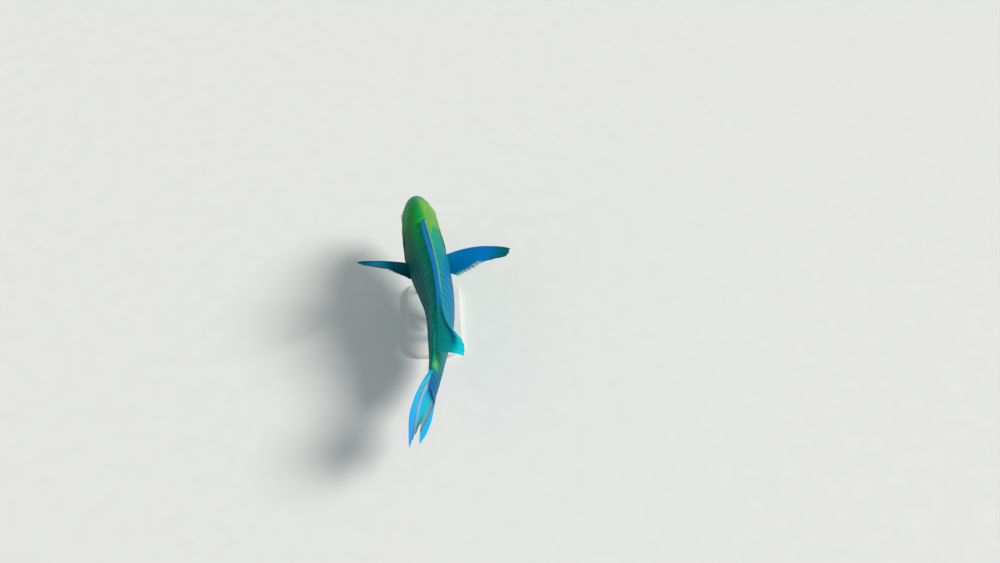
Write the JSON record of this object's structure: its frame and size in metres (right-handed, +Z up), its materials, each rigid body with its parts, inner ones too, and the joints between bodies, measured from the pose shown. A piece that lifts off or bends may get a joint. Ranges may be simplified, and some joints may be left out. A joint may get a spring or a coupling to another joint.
{
  "type": "parrotfish model on a stand",
  "caption": "Life-size swimming parrotfish with spread pectoral fins and half-closed tail, gliding through a left turn on a plain display stand.",
  "frame": {"origin": "middle of the underside of the stand's base, on the floor below the fish's middle", "axes": "+Z up; the head points to -Y and the tail to +Y; the fish's left side is on +X"},
  "size_m": [0.2354, 0.4987, 0.2177],
  "materials": {
    "head_skin": "moist scaled skin, yellow-green above and teal on the snout",
    "trunk_skin": "moist scaled skin, green on the back and blue-teal on the flank",
    "tail_skin": "moist scaled skin, deep blue",
    "fin": "deep blue fin membrane over rays",
    "tail_fin": "turquoise fin membrane with azure margins and lilac stripes",
    "tooth": "smooth off-white tooth plate",
    "eye": "clear gloss over an orange-yellow iris and black pupil",
    "stand_paint": "matt off-white paint",
    "stand_steel": "satin steel"
  },
  "bodies": {
    "root": {"head": "head_skin", "trunk": "trunk_skin", "tail_stock": "tail_skin", "beak_upper": "tooth", "beak_lower": "tooth", "dorsal_fin": "fin", "anal_fin": "fin", "caudal_fin": "tail_fin", "eye_left": "eye", "eye_right": "eye", "pectoral_fin_left": "fin", "pectoral_fin_right": "fin", "pelvic_fin_left": "fin", "pelvic_fin_right": "fin", "stand_base": "stand_paint", "stand_rod_front": "stand_steel", "stand_rod_rear": "stand_steel"}
  },
  "joints": []
}
